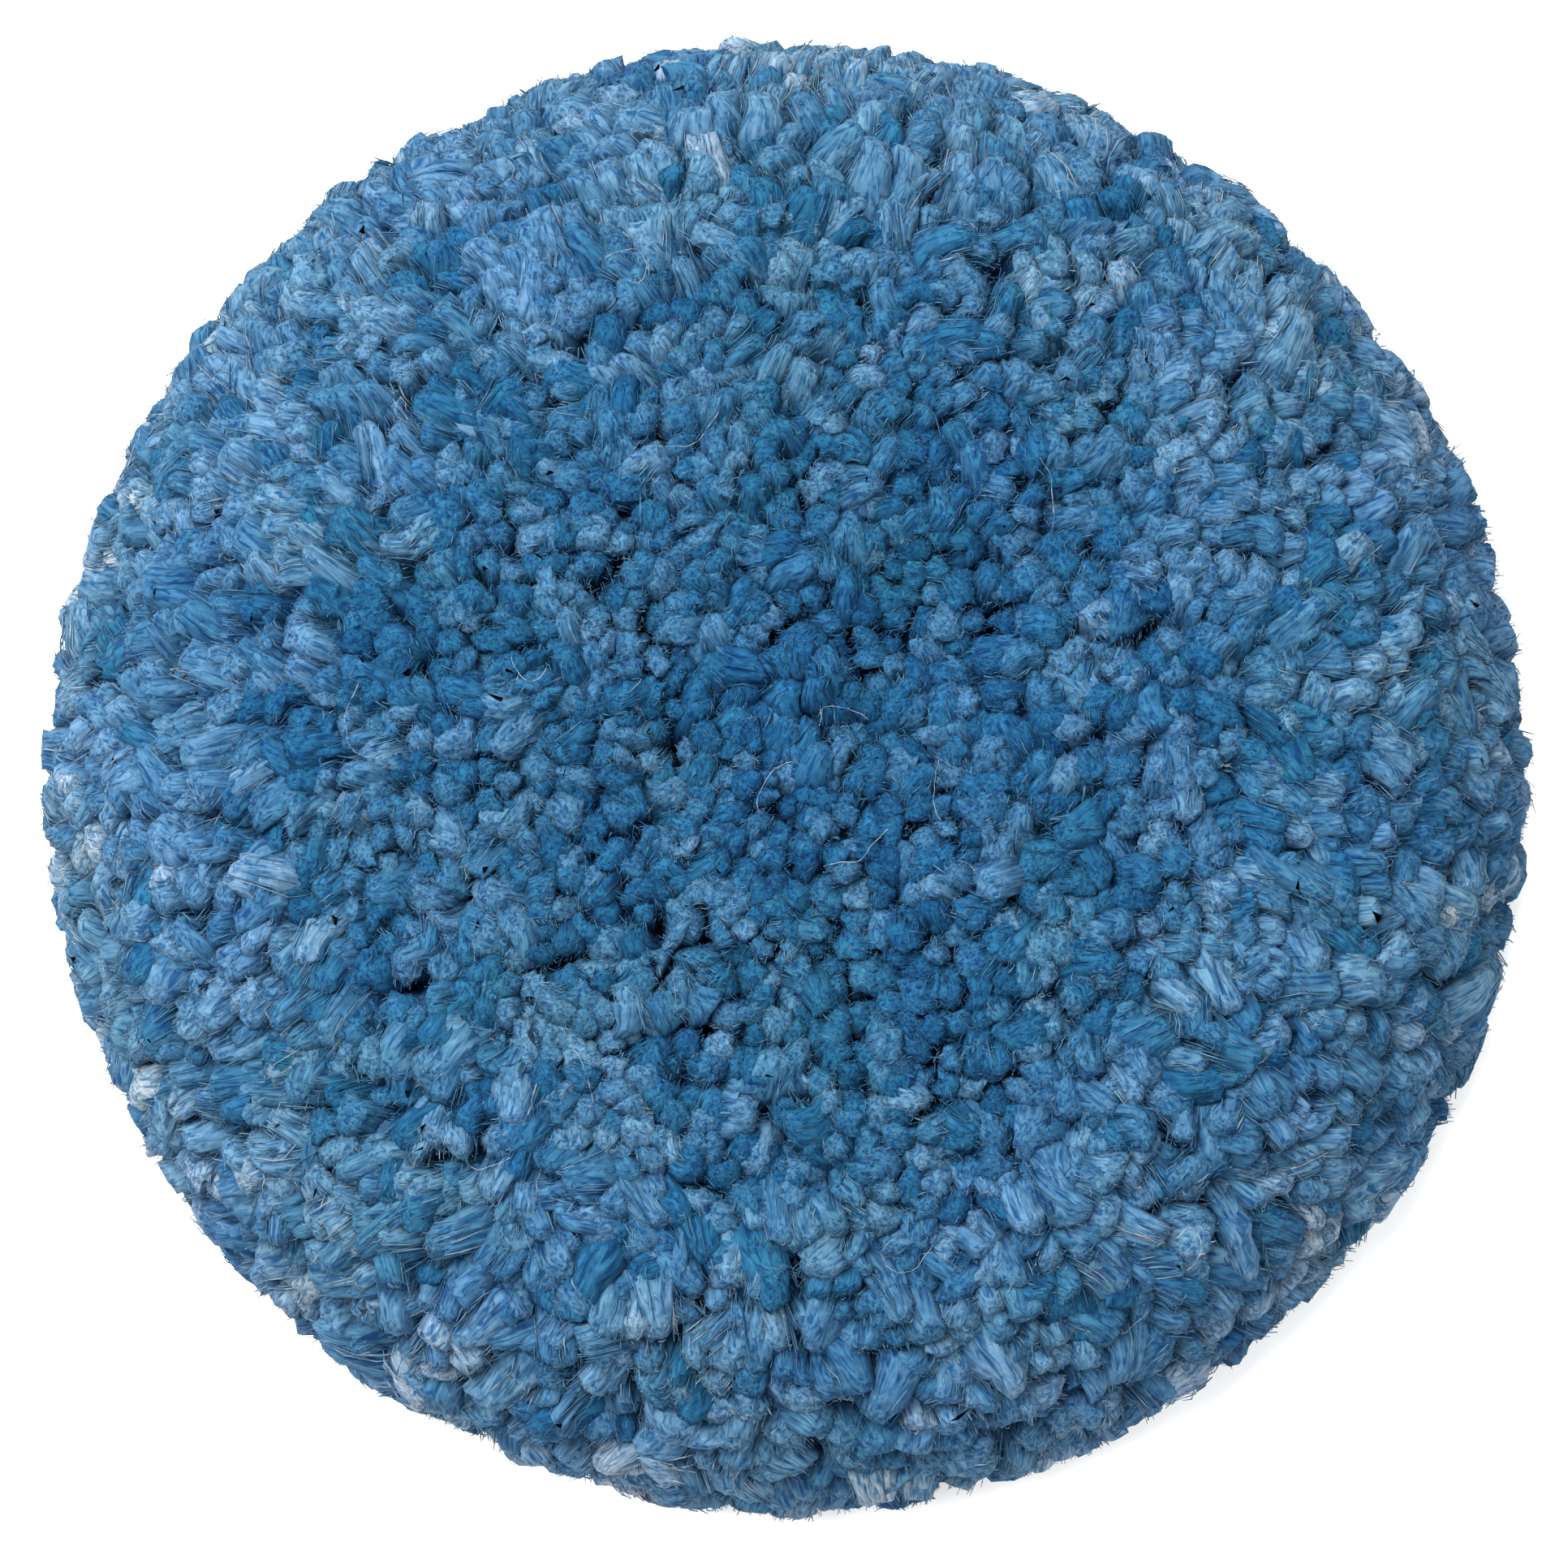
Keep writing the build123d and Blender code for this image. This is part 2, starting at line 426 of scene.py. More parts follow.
def make_loop_disc(material):
    """The knitted disc with its pressed groove, and the brushed loops that stand below it."""
    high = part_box("loop_disc")[1]
    groove_low, groove_high = SEAM_RADIUS - GROOVE_HALF, SEAM_RADIUS + GROOVE_HALF
    floor, groove_floor, top = LOOP_HEIGHT, GROOVE_DEPTH, high.z
    section = dense([(HOLE_RADIUS, floor), (groove_low, floor), (groove_low + 0.2 * MM, groove_floor),
                     (groove_high - 0.2 * MM, groove_floor), (groove_high, floor),
                     (high.x - 0.3 * MM, floor), (high.x, floor + 0.3 * MM), (high.x, top),
                     (HOLE_RADIUS, top)], 0.9 * MM)
    points, quads = lathe(section, 420, uneven(0.03 * MM))
    knit = soft_piece("loop_disc_knit", "loop_disc", points, [quads], material)

    margin = 0.4 * MM
    radius = np.sqrt(random.uniform((HOLE_RADIUS + margin) ** 2, (high.x - margin) ** 2, LOOP_COUNT))
    radius = radius[(radius < groove_low) | (radius > groove_high)]
    count = len(radius)
    turn, heading = random.uniform(0, TURN, (2, count, 1))
    foot = in_space(radius, np.full(count, floor), turn[:, 0])
    reach = random.uniform(0.4, 0.8, (count, 1)) * MM
    swing = np.linspace(0, math.pi, 6)
    over = -reach * np.cos(swing)
    down = random.uniform(0.6, 0.95, (count, 1)) * LOOP_HEIGHT * np.sin(swing) ** 0.8
    wander = random.normal(0, 0.15 * MM, (count, 1)) * np.sin(2 * swing)
    path = foot[:, None] + np.stack([over * np.cos(heading) - wander * np.sin(heading),
                                     over * np.sin(heading) + wander * np.cos(heading),
                                     0.1 * MM - down], 2)
    thick = np.full(path.shape[:2], 0.05 * MM) * random.uniform(0.7, 1.3, (count, 1))
    points, quads, caps = tubes(path, thick, unit(random.normal(0, 1, (count, 3))), 3)
    nap = soft_piece("loop_disc_nap", "loop_disc", points, [quads, caps], material)


def make_foam(material):
    """The foam ring, pitted with open pores where it is cut."""
    low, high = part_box("foam_cushion")
    reach = cloth_roll - CLOTH_THICKNESS - LATEX_THICKNESS - FOAM_GAP
    turned = math.acos((low.z - roll_z) / reach)
    section = dense([(HOLE_RADIUS, low.z), *roll_arc(reach, turned, 0), (flat_r - FOAM_GAP, high.z),
                     (HOLE_RADIUS, high.z)], 0.8 * MM)
    points, quads = lathe(section, 300, uneven(0.07 * MM))
    soft_piece("foam_ring", "foam_cushion", points, [quads], material)


def dished(inner_roll, thickness, drop):
    """The section of a layer that lies flat, then follows the rolled rim and hangs by drop.
    It leaves out a pinhole on the axis, so that the turned layer stays one closed mesh."""
    outer_roll = inner_roll + thickness
    quarter = math.pi / 2
    inside = [(PINHOLE, roll_z + inner_roll), *roll_arc(inner_roll, 0, quarter)]
    outside = [*roll_arc(outer_roll, quarter, 0), (PINHOLE, roll_z + outer_roll)]
    edge = [(flat_r + inner_roll, roll_z - drop), (flat_r + outer_roll, roll_z - drop)] if drop else []
    return dense(inside + edge + outside, 1.6 * MM)


def make_dished_layers(latex, cloth):
    """The latex coat, and the woven cloth that the yarn is driven through."""
    latex_roll = cloth_roll - CLOTH_THICKNESS - LATEX_THICKNESS
    weave_roll = latex_roll + LATEX_THICKNESS
    quarter = math.pi / 2
    points, quads = lathe(dished(latex_roll, LATEX_THICKNESS, 0), 300, uneven(0.04 * MM))
    coat = soft_piece("latex_film", "latex_coat", points, [quads], latex)
    across = 2 * (flat_r + (latex_roll + LATEX_THICKNESS / 2) * quarter)

    drop = roll_z - cloth_low.z
    points, quads = lathe(dished(weave_roll, CLOTH_THICKNESS, drop), 300, uneven(0.03 * MM))
    sheet = soft_piece("dished_cloth", "backing_cloth", points, [quads], cloth)
    across = 2 * (flat_r + (weave_roll + CLOTH_THICKNESS / 2) * quarter + drop)
    return sheet, across


def make_tape(material):
    """The binding tape: ribbed across, drawn in a little at every stitch of its seam."""
    low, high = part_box("edge_binding")
    inner = cloth_high.x - CLOTH_THICKNESS - TAPE_THICKNESS
    outer = high.x
    bend = 0.5 * MM
    fold = low.z + TAPE_THICKNESS
    section = dense([(inner, high.z), (inner, low.z + bend), (inner + bend, low.z),
                     (outer - bend, low.z), (outer, low.z + bend), (outer, high.z),
                     (outer - TAPE_THICKNESS, high.z), (outer - TAPE_THICKNESS, fold),
                     (inner + TAPE_THICKNESS, fold), (inner + TAPE_THICKNESS, high.z)], 0.5 * MM)
    seam_low, seam_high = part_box("edge_seam")
    seam_z = (seam_low.z + seam_high.z) / 2

    def relief(turn, section):
        ribs = 0.05 * MM * np.cos(TAPE_RIBS * turn) + np.zeros((len(turn), len(section)))
        drawn = 0.5 - 0.5 * np.cos(EDGE_STITCHES * turn)
        near = np.exp(-((section[:, 1] - seam_z) / MM) ** 2) * (section[:, 0] < inner + 0.1 * MM)
        return ribs - 0.18 * MM * drawn * near + random.normal(0, 0.015 * MM, ribs.shape)

    points, quads = lathe(section, 4 * TAPE_RIBS, relief)
    return soft_piece("edge_tape", "edge_binding", points, [quads], material)


def make_seam(name, node, stitches, radius, height, sink, material):
    """A ring of stitches of two-ply thread. sink is the way that their ends go in: how far
    outwards and how far up."""
    t = np.linspace(-1, 1, 15)
    turn = (np.arange(stitches) * TURN / stitches)[:, None, None]
    ply = np.arange(2)[None, :, None] * math.pi
    spin = t * TURN * 1.4 + ply + random.uniform(0, TURN, (stitches, 1, 1))
    ends = np.clip((np.abs(t) - 0.7) / 0.3, 0, 1) ** 2
    out = radius + PLY_RADIUS * np.cos(spin) + sink[0] * ends
    up = height + PLY_RADIUS * np.sin(spin) + sink[1] * ends
    beside = STITCH_LENGTH / 2 * t
    x = out * np.cos(turn) - beside * np.sin(turn)
    y = out * np.sin(turn) + beside * np.cos(turn)
    path = np.stack([x, y, up], -1).reshape(-1, len(t), 3)
    upright = np.tile([0.0, 0.0, 1.0], (len(path), 1))
    points, quads, caps = tubes(path, np.full(path.shape[:2], PLY_RADIUS), upright, 6)
    soft_piece(name, node, points, [quads, caps], material)


def make_back():
    """Every layer, tape and seam behind the pile."""
    make_loop_disc(speckled("loop_fabric", 0.85, [(150, 152, 152), (196, 197, 194), (222, 222, 218)],
                            1800, 0.2 * MM))
    make_foam(speckled("foam", 0.95, [(26, 26, 28), (62, 62, 65), (84, 84, 87)], 1500, 0.4 * MM))
    # The backing cloth's dark navy is partly its own colour and partly painted shade, so that where it
    # shows between the tufts it reads as the shade down there.
    cloth, across = make_dished_layers(
        speckled("latex", 0.45, [(176, 160, 116), (206, 192, 148), (222, 212, 176)], 500, 0.3 * MM),
        woven("backing_cloth", 0.9, [(10, 26, 44), (22, 48, 76), (44, 74, 104)], 0.9 * MM, 0.3 * MM))
    tape = make_tape(speckled("binding_tape", 0.8, [(14, 26, 48), (28, 46, 76), (52, 72, 102)],
                              2500, 0.1 * MM))
    thread = speckled("thread", 0.6, [(22, 56, 96), (44, 88, 136), (84, 124, 164)], 4000, 0.05 * MM)
    low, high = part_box("edge_seam")
    make_seam("edge_seam_thread", "edge_seam", EDGE_STITCHES, high.x - 0.25 * MM, (low.z + high.z) / 2,
              (0.7 * MM, 0), thread)
    low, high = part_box("loop_seam")
    make_seam("loop_seam_thread", "loop_seam", LOOP_STITCHES, SEAM_RADIUS, (low.z + high.z) / 2,
              (0, 0.6 * MM), thread)
    hard = {
        "adhesive_film": speckled("adhesive", 0.3, [(176, 146, 84), (206, 180, 116), (224, 204, 150)],
                                  300, 0.05 * MM, Coat_Weight=0.3),
        "stiffener_disc": speckled("stiffener_plastic", 0.5, [(22, 22, 24), (34, 34, 36), (50, 50, 52)],
                                   900, 0.06 * MM),
    }
    for node, material in hard.items():
        bpy.data.objects[node].material_slots[0].material = material


# ---------------------------------------------------------------- the pile
def root_at(distance):
    """Radius, height and outward angle of the cloth's outer face, this far along it."""
    angle = np.maximum(distance - flat_r, 0) / cloth_roll
    radius = np.minimum(distance, flat_r) + cloth_roll * np.sin(angle)
    return radius, roll_z + cloth_roll * np.cos(angle), angle


def tip_at(path):
    """Radius, height and outward angle of the pile's surface, this far along it."""
    share = np.maximum(path - flat_r, 0) / (tip_path - flat_r)
    angle = share * tip_fan
    reach = face_reach + share * (rim_reach - face_reach)
    dip = CENTRE_DIP * np.maximum(1 - path / flat_r, 0) ** 2
    radius = np.minimum(path, flat_r) + reach * np.sin(angle)
    return radius, roll_z + reach * np.cos(angle) - dip, angle


def tip_path_of(distance):
    return distance + (tip_path - root_path) * (distance / root_path) ** LEAN_POWER


def spread(tip, outward, spacing, rounds):
    """Push tips apart, along the pile's surface, so that each gets room of its own."""
    for _ in range(rounds):
        push = np.empty_like(tip)
        for start in range(0, len(tip), MOST_GAPS):
            some = slice(start, start + MOST_GAPS)
            gap = tip[some, None] - tip[None]
            far = np.maximum(np.linalg.norm(gap, axis=2), 1e-6)
            room = 0.56 * (spacing[some, None] + spacing[None])
            near = np.clip(1 - far / room, 0, 1)
            push[some] = (gap * (near / far)[..., None]).sum(1)
        push -= outward * (push * outward).sum(1, keepdims=True)
        tip = tip + push * spacing[:, None] * 0.4
    return tip


def sine_field(places, size, amount, waves=24):
    """A smooth random vector at each place, from a few sine waves of about this size."""
    heading = unit(random.normal(0, 1, (waves, 3))) * TURN / size * random.uniform(0.6, 1.4, (waves, 1))
    push = random.normal(0, 1, (waves, 3))
    phase = random.uniform(0, TURN, waves)
    return np.sin(places @ heading.T + phase) @ push * amount / math.sqrt(waves / 2)


def all_plies():
    """Tips, roots, directions and sizes of every ply, with the row each belongs to."""
    rows = []
    for row in range(len(row_nodes)):
        low, high = row * row_pitch, (row + 1) * row_pitch
        tip_low, tip_high = tip_path_of(low), tip_path_of(high)
        rim = np.clip((tip_low + tip_high) / 2 / tip_path, 0, 1) ** 2
        spacing = FACE_SPACING + (RIM_SPACING - FACE_SPACING) * rim
        lines = max(1, round((tip_high - tip_low) / spacing))
        line_gap = (tip_high - tip_low) / lines
        tufts = max(3, round(TURN * root_at((low + high) / 2)[0] / row_pitch))
        paths, turns = [], []
        for line in range(lines):
            path = tip_low + (line + 0.5) * line_gap
            count = max(3, round(TURN * tip_at(path)[0] * line_gap / spacing**2))
            turns.append((np.arange(count) + random.uniform(0, 1)) * TURN / count)
            paths.append(np.full(count, path))
        path, turn = np.concatenate(paths), np.concatenate(turns)
        count = len(path)
        path = np.maximum(path + random.normal(0, 0.26, count) * spacing, 0.2 * spacing)
        turn = turn + random.normal(0, 0.2, count) * spacing / np.maximum(tip_at(path)[0], spacing)
        radius, height, angle = tip_at(path)
        root_turn = np.round(turn * tufts / TURN) * TURN / tufts + random.normal(0, 0.05, count)
        root_path_at = random.uniform(low + 0.1 * row_pitch, high - 0.1 * row_pitch, count)
        root_radius, root_height, root_angle = root_at(root_path_at)
        rows.append({
            "row": np.full(count, row),
            "turn": turn,
            "rim": np.full(count, rim),
            "spacing": np.full(count, spacing),
            "tip": in_space(radius, height, turn),
            "outward": in_space(np.sin(angle), np.cos(angle), turn),
            "root": in_space(root_radius, root_height, root_turn),
            "rise": in_space(np.sin(root_angle), np.cos(root_angle), root_turn),
            "size": spacing * random.uniform(0.54, 0.92, count),
            # Painted light: the rim's plies are painted paler, as sheen, and the middle's darker, as shade;
            # the rest is dye that differs at random.
            "dye": PAINTED_RIM_LIGHT * (rim - 0.5) + random.uniform(-0.1, 0.1, count),
            "grain": random.uniform(0, 100, (count, 3)),
        })
    plies = {key: np.concatenate([row[key] for row in rows]) for key in rows[0]}
    plies["tip"] = spread(plies["tip"], plies["outward"], plies["spacing"], TIP_ROUNDS)
    return plies


def clump(plies, centres):
    """Lean each ply towards the middle of its clump, so that creases open between clumps."""
    tip, outward = plies["tip"], plies["outward"]
    count = len(tip)
    nearest = np.empty(count, int)
    for start in range(0, count, MOST_GAPS):
        some = slice(start, start + MOST_GAPS)
        gap = np.linalg.norm(tip[some, None] - centres["place"][None], axis=2)
        nearest[some] = gap.argmin(1)
    towards = centres["place"][nearest] - tip
    away = np.linalg.norm(towards, axis=1) / CLUMP_SPACING
    pull = centres["pull"][nearest][:, None]
    sink = centres["sink"][nearest] + 2.0 * MM * away**2 + random.normal(0, 0.5 * MM, count)
    drift = sine_field(tip, 28 * MM, 0.35 * MM) + sine_field(tip, 9 * MM, 0.2 * MM)
    drift = drift * (1 + 0.5 * plies["rim"])[:, None]
    hook = sine_field(tip, 30 * MM, 1.4 * MM) + sine_field(tip, 9 * MM, 2.2 * MM)
    hook = hook + random.normal(0, 1.2 * MM, (count, 3)) + centres["lean"][nearest] * 0.3
    hook = hook * (1.3 - 0.3 * plies["rim"])[:, None]
    hook = hook - outward * (hook * outward).sum(1, keepdims=True)
    bent = np.linalg.norm(hook, axis=1, keepdims=True)
    hook = hook * MOST_HOOK * np.tanh(bent / MOST_HOOK) / bent
    drift = drift - outward * (drift * outward).sum(1, keepdims=True)
    tip = spread(tip + towards * pull + drift, outward, plies["spacing"], CLUMP_ROUNDS)
    plies["tip"] = tip - outward * np.maximum(sink, 0)[:, None]
    plies["lean"] = centres["lean"][nearest] + random.normal(0, 0.8 * MM, (count, 3))
    plies["dye"] = plies["dye"] + sine_field(tip, 14 * MM, 0.03)[:, 0] * (1 + plies["rim"])
    plies["hook"] = tip - spread(tip - hook, outward, plies["spacing"], BEND_ROUNDS)
    return plies


def crease(plies):
    """Part the pile along the creases: tips beside one move away from it and sink."""
    tip = plies["tip"]
    for x1, y1, x2, y2 in CREASES:
        start, run = np.array([x1, y1]) * MM, np.array([x2 - x1, y2 - y1]) * MM
        along = np.clip((tip[:, :2] - start) @ run / (run @ run), 0, 1)
        away = tip[:, :2] - start - along[:, None] * run
        gap = np.linalg.norm(away, axis=1, keepdims=True)
        near = np.exp(-(gap / CREASE_WIDTH) ** 2)
        tip[:, :2] += away / np.maximum(gap, 0.1 * MM) * near * CREASE_PART
        tip -= plies["outward"] * near * CREASE_DEPTH
    return plies


def stray_hairs(plies):
    """Long pale hairs that have worked loose and lie curled on the pile."""
    chosen = random.integers(0, len(plies["turn"]), HAIRS)
    tip, outward, turn = (plies[key][chosen] for key in ("tip", "outward", "turn"))
    around = np.stack([-np.sin(turn), np.cos(turn), np.zeros(HAIRS)], 1)
    beside = np.cross(outward, around)
    along = np.linspace(0, 1, HAIR_STEPS)
    coil = random.uniform(-3.5, 3.5, (HAIRS, 1)) * along**2 + random.uniform(0, TURN, (HAIRS, 1))
    coil = coil + np.cumsum(random.normal(0, 0.2, (HAIRS, HAIR_STEPS)), 1)
    step = random.uniform(6, 14, (HAIRS, 1)) * MM / HAIR_STEPS
    x, y = np.cumsum(step * np.cos(coil), 1), np.cumsum(step * np.sin(coil), 1)
    lift = 0.7 * MM * (1 + np.sin(3 * coil) * 0.4)
    path = tip[:, None] + x[..., None] * around[:, None] + y[..., None] * beside[:, None]
    path = path + lift[..., None] * outward[:, None]
    points, quads, caps = tubes(path, np.full(path.shape[:2], HAIR_RADIUS), outward, 3)
    plain = np.ones(len(points))
    return points, [quads, caps], {"dye": 0.85 * plain, "depth": plain, "grain": points / MM}


def pile_piece(plies, material, name, node):
    """One piece of pile: the cores, strands and loose fibres of these plies."""
    tip, root, rise = plies["tip"], plies["root"], plies["rise"]
    turn, size, hook = plies["turn"], plies["size"], plies["hook"]
    count = len(tip)
    length = np.linalg.norm(tip - root, axis=1)[:, None]
    dome = 0.7 * size[:, None] / length
    bend = root + rise * length * 0.55 + plies["lean"] - hook * 0.5
    around = np.stack([-np.sin(turn), np.cos(turn), np.zeros(count)], 1)
    side = unit(np.cross(unit(tip - bend), around))
    across = np.cross(side, unit(tip - bend))
    body = 1.85 - 0.5 * plies["rim"]

    def shaped(values, like):
        """Per-ply values, shaped to go with an array whose first axis is the plies."""
        return values.reshape((count,) + (1,) * (like.ndim - 1) + values.shape[1:])

    def on_ply(t, reach, spin):
        """Points at t along each ply, reach widths out from its middle; arrays (ply, ...)."""
        a, b, c, h, end, u, v, outward, up = (shaped(x, t) for x in (
            root, bend, tip - hook, hook, tip, side, across, plies["outward"], rise))
        curl = np.clip((t - 0.55) / 0.45, 0, 1)[..., None] ** 2.4
        t = t[..., None]
        middle = a * (1 - t) ** 2 + b * 2 * t * (1 - t) + c * t**2 + h * curl
        width = 1.04 + (shaped(body, t) - 1.04) * np.clip((0.85 - t) / 0.25, 0, 1)
        width = width * (0.45 + 0.55 * np.clip(t / 0.3, 0, 1))
        out = (reach[..., None] * width) * shaped(size, t)
        point = middle + out * (u * np.cos(spin)[..., None] + v * np.sin(spin)[..., None])
        below = np.maximum(((a - point) * up).sum(-1, keepdims=True), 0)
        point = point + up * (below - ROOTED * np.tanh(below / ROOTED))
        proud = np.maximum(((point - end) * outward).sum(-1, keepdims=True), 0)
        point = point - outward * (proud - SHEARED * np.tanh(proud / SHEARED))
        sunk = np.maximum(cad_low.z - point[..., 2], 0)
        point[..., 2] += sunk - SHEARED * np.tanh(sunk / SHEARED)
        return point

    def depth(points):
        """Painted shade on the yarn: 1, unshaded, at the pile's surface, falling to 0, darkest, this far
        (PAINTED_SHADE_DEPTH) under it.
        """
        under = ((tip[:, None] - points.reshape(count, -1, 3)) * plies["outward"][:, None]).sum(-1)
        return np.clip(1 - under / PAINTED_SHADE_DEPTH, 0, 1).ravel()

    def dyed(low, high, shape):
        drawn = random.uniform(low, high, shape)
        return np.clip(drawn + shaped(plies["dye"], drawn), 0, PALEST)

    def grain(t, reach, spin):
        """Coordinates that run with the fibres, for the streaks of the material."""
        across_grain = reach * GRAIN_ACROSS
        places = np.stack([across_grain * np.cos(spin), across_grain * np.sin(spin), t * GRAIN_ALONG], -1)
        return (places + shaped(plies["grain"], t)).reshape(-1, 3)

    # The core: a lobed, fluted bundle with a rounded end that slants a little
    steps = np.concatenate([np.broadcast_to(CORE_STEPS, (count, len(CORE_STEPS))),
                            0.985 - dome * (1 - np.sin(CORE_DOME))], 1)
    width = 0.9 * np.concatenate([np.ones(len(CORE_STEPS)), np.cos(CORE_DOME)])
    shape = steps.shape + (CORE_SIDES,)
    spin = np.arange(CORE_SIDES) * TURN / CORE_SIDES + np.zeros(shape)
    lobes = np.zeros(shape)
    for lobe_count in (2, 3, 5):
        height = random.normal(0, 0.3 / lobe_count, (count, 1, 1))
        lobes += height * np.cos(lobe_count * spin + random.uniform(0, TURN, (count, 1, 1)))
    flutes = random.normal(0, 0.09, (count, 1, CORE_SIDES))
    slant = np.cos(spin + random.uniform(0, TURN, (count, 1, 1))) * 0.5 * dome[..., None]
    crumble = slant + random.normal(0, 0.26, shape) * dome[..., None]
    t = steps[..., None] + crumble * width[:, None] ** 2 * (steps[..., None] > 0.7)
    reach = width[:, None] * (1 + lobes + flutes + random.normal(0, 0.1, shape))
    twist = random.normal(0, 0.7, (count, 1, 1))
    quads, caps = tube_faces(count, steps.shape[1], CORE_SIDES)
    points = on_ply(t, reach, spin + twist * t).reshape(-1, 3)
    core = (points, [quads, caps], {
        # The core's dye is drawn from a darker band than the strands': painted shade in the gaps between
        # strands.
        "dye": np.broadcast_to(dyed(0.35, 0.55, (count, 1, 1)), shape).ravel(),
        "depth": depth(points),
        "grain": grain(t, reach, spin),
    })

    # Strands lie along the core and end on its rounded end, slightly frayed
    shape = (count, STRANDS)
    reach = np.sqrt(random.uniform(0.4, 1.1, shape))
    stop = 1 - dome * (1 - np.sqrt(1 - 0.9 * reach**2)) + random.normal(0.014, 0.02, shape)
    start = random.uniform(0.5, 0.7, shape)
    t = start[..., None] + (stop - start)[..., None] * STRAND_STEPS
    spin = random.uniform(0, TURN, shape)[..., None] + np.zeros(t.shape)
    reach = reach[..., None] + np.zeros(t.shape)
    path = on_ply(t, reach, spin + twist * t)
    path = path + random.normal(0, 1, path.shape) * FRAY[:, None]
    path = path.reshape(-1, len(STRAND_STEPS), 3)
    radii = STRAND_RADIUS * STRAND_TAPER * random.uniform(0.7, 1.3, (len(path), 1))
    points, quads, caps = tubes(path, radii, np.repeat(across, STRANDS, 0), 3)
    strands = (points, [quads, caps], {
        "dye": np.repeat(dyed(0.34, 0.67, shape).ravel(), 3 * len(STRAND_STEPS)),
        "depth": depth(points),
        "grain": np.repeat(grain(t, reach, spin), 3, 0),
    })

    # Fuzz: fine short fibres that curl over the ply's end
    shape = (count, FUZZ)
    reach = np.sqrt(random.uniform(0, 0.95, shape))
    spin = random.uniform(0, TURN, shape)
    t = 0.99 - dome * (1 - np.sqrt(1 - reach**2)) - random.uniform(0, 0.12, shape) * (reach > 0.8)
    start = on_ply(t, reach, spin)
    heading = unit(tip - bend)[:, None]
    fly = random.normal(0, 1, shape + (3,))
    fly = unit(fly - heading * ((fly * heading).sum(-1, keepdims=True) - 0.35))
    fly = fly * (random.uniform(0.6, 1.8, shape) * (1 - 0.75 * shaped(plies["rim"], t)))[..., None] * MM
    lift = heading * random.uniform(0.1, 0.35, shape)[..., None] * MM
    arc = (FUZZ_STEPS * (1 - FUZZ_STEPS) * 4)[:, None]
    path = start[..., None, :] + fly[..., None, :] * (FUZZ_STEPS[:, None] - 0.3)
    path = (path + lift[..., None, :] * arc).reshape(-1, len(FUZZ_STEPS), 3)
    radii = FUZZ_RADIUS * random.uniform(0.7, 1.3, (len(path), 1)) * np.array([0.8, 1.0, 0.6])
    points, quads, caps = tubes(path, radii, unit(random.normal(0, 1, (len(path), 3))), 3)
    fuzz = (points, [quads, caps], {
        "dye": np.repeat(dyed(0.4, 0.76, shape).ravel(), 3 * len(FUZZ_STEPS)),
        "depth": depth(points),
        "grain": np.repeat(grain(t, reach, spin), 3 * len(FUZZ_STEPS), 0),
    })

    parts = [core, strands, fuzz]
    if plies["rim"].max() < HAIRS_END:
        parts.append(stray_hairs(plies))
    piece = make_piece(name, *join(parts), material)
    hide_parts(node)
    return piece


def clump_centres():
    """Middles of the clumps, scattered evenly over the pile's surface."""
    places = []
    for path in np.arange(0.5 * CLUMP_SPACING, tip_path, CLUMP_SPACING):
        count = max(3, round(TURN * tip_at(path)[0] / CLUMP_SPACING))
        turn = (np.arange(count) + random.uniform(0, 1)) * TURN / count
        turn = turn + random.normal(0, 0.3, count) * TURN / count
        jittered = np.clip(path + random.normal(0, 0.3, count) * CLUMP_SPACING, 0, tip_path)
        radius, height, _ = tip_at(jittered)
        places.append(in_space(radius, height, turn))
    place = np.concatenate(places)
    return {"place": place, "pull": random.uniform(0.0, 0.05, len(place)),
            "sink": random.uniform(0.0, 1.3, len(place)) * MM,
            "lean": random.normal(0, 2.0 * MM, (len(place), 3))}


make_back()
wool = wool_material()
plies = crease(clump(all_plies(), clump_centres()))
for row, node in enumerate(row_nodes):
    order = np.flatnonzero(plies["row"] == row)
    order = order[np.argsort(plies["turn"][order] % TURN)]
    shares = math.ceil(len(order) / PIECE_PLIES)
    for share, chosen in enumerate(np.array_split(order, shares)):
        name = node.replace("tuft_row", "pile_row") + (f"_{share + 1}" if shares > 1 else "")
        pile_piece({key: values[chosen] for key, values in plies.items()}, wool, name, node)


# ---------------------------------------------------------------- floor, lights, camera
FLOOR_SIZE = 6.0
CAMERA_RISE = 82  # degrees above the horizon
CAMERA_DISTANCE = 0.551


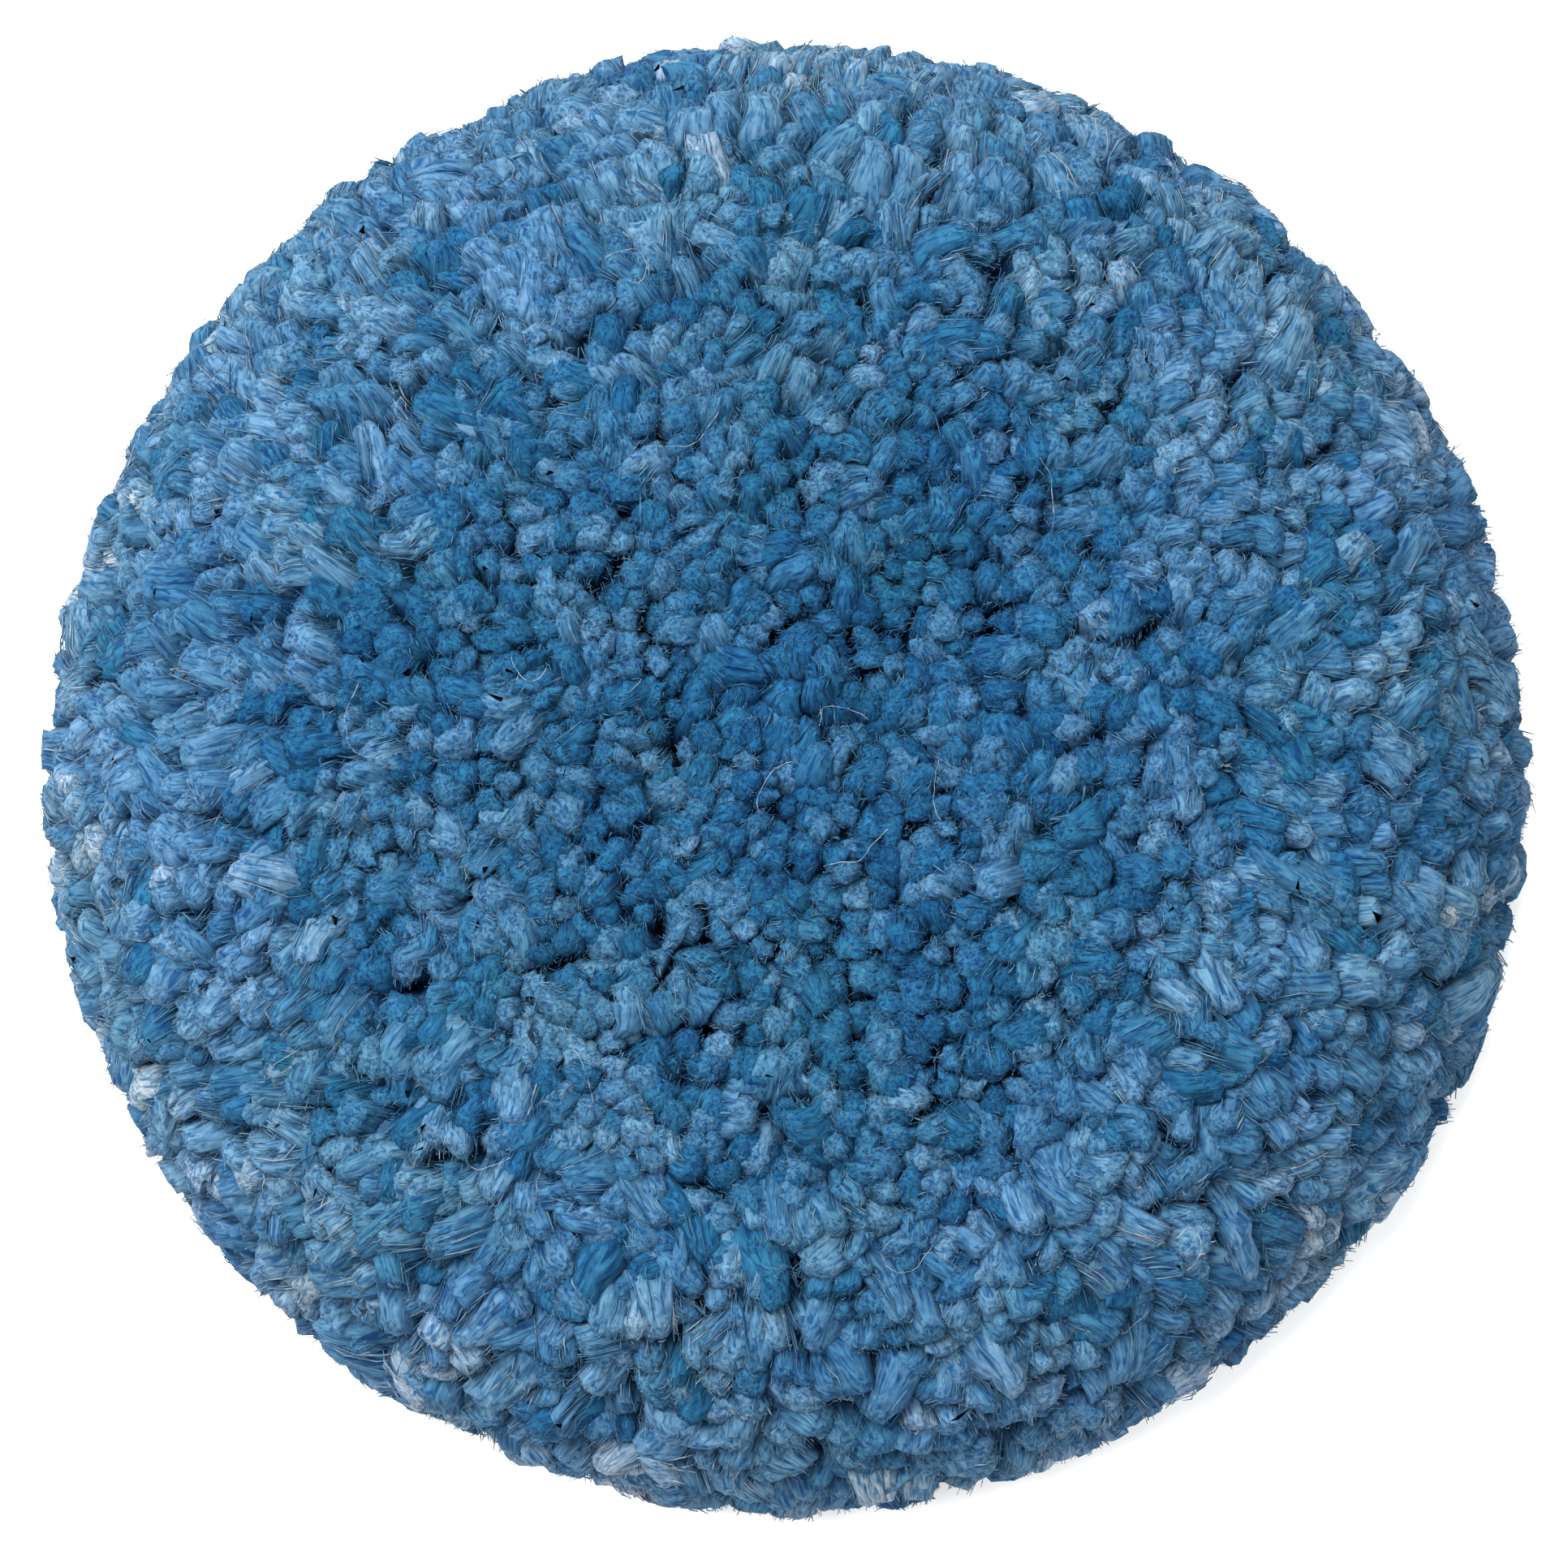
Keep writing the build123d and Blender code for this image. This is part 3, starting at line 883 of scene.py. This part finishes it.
def make_floor():
    """A plain pale floor, just under the lowest tufts."""
    paint = Shader("pale_floor", 0.9)
    paint.colour(paint.ramp(paint.noise(3.0), [(0.3, linear(244, 245, 246)), (0.7, linear(248, 248, 248))]))
    half = FLOOR_SIZE / 2
    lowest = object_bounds()[0].z
    corners = [(x * half, y * half, lowest) for x, y in ((-1, -1), (1, -1), (1, 1), (-1, 1))]
    mesh = bpy.data.meshes.new("floor")
    mesh.from_pydata(corners, [], [(0, 1, 2, 3)])
    mesh.materials.append(paint.material)
    floor = bpy.data.objects.new("floor", mesh)
    bpy.context.scene.collection.objects.link(floor)


def area_light(name, azimuth, elevation, distance, size, power):
    """A soft square light that faces the pad."""
    light = bpy.data.lights.new(name, "AREA")
    light.shape = "SQUARE"
    light.size = size
    light.energy = power
    light.color = (1.0, 0.96, 0.9)
    lamp = bpy.data.objects.new(name, light)
    turn, rise = math.radians(azimuth), math.radians(elevation)
    back = Vector((math.cos(turn) * math.cos(rise), math.sin(turn) * math.cos(rise), math.sin(rise)))
    lamp.location = back * distance
    lamp.rotation_mode = "QUATERNION"
    lamp.rotation_quaternion = back.to_track_quat("Z", "Y")
    bpy.context.scene.collection.objects.link(lamp)


def make_camera():
    """Almost straight above the face, tipped a little towards the near rim."""
    camera = bpy.data.cameras.new("camera")
    camera.lens = 100
    camera.sensor_width = 36
    eye = bpy.data.objects.new("camera", camera)
    bpy.context.scene.collection.objects.link(eye)
    rise = math.radians(CAMERA_RISE)
    back = Vector((0, -math.cos(rise), math.sin(rise)))
    target = Vector((-0.0004, -0.0040, 0.008))
    eye.location = target + back * CAMERA_DISTANCE
    eye.rotation_mode = "QUATERNION"
    eye.rotation_quaternion = back.to_track_quat("Z", "Y")
    bpy.context.scene.camera = eye


make_floor()
make_camera()
area_light("key", 140, 58, 1.2, 1.0, 58)
area_light("fill", -40, 60, 1.4, 1.4, 10)
world = bpy.data.worlds.new("world")
world.use_nodes = True
world.node_tree.nodes["Background"].inputs["Color"].default_value = (0.93, 0.96, 1.0, 1.0)
world.node_tree.nodes["Background"].inputs["Strength"].default_value = 1.0
bpy.context.scene.world = world
bpy.context.scene.view_settings.view_transform = "Standard"
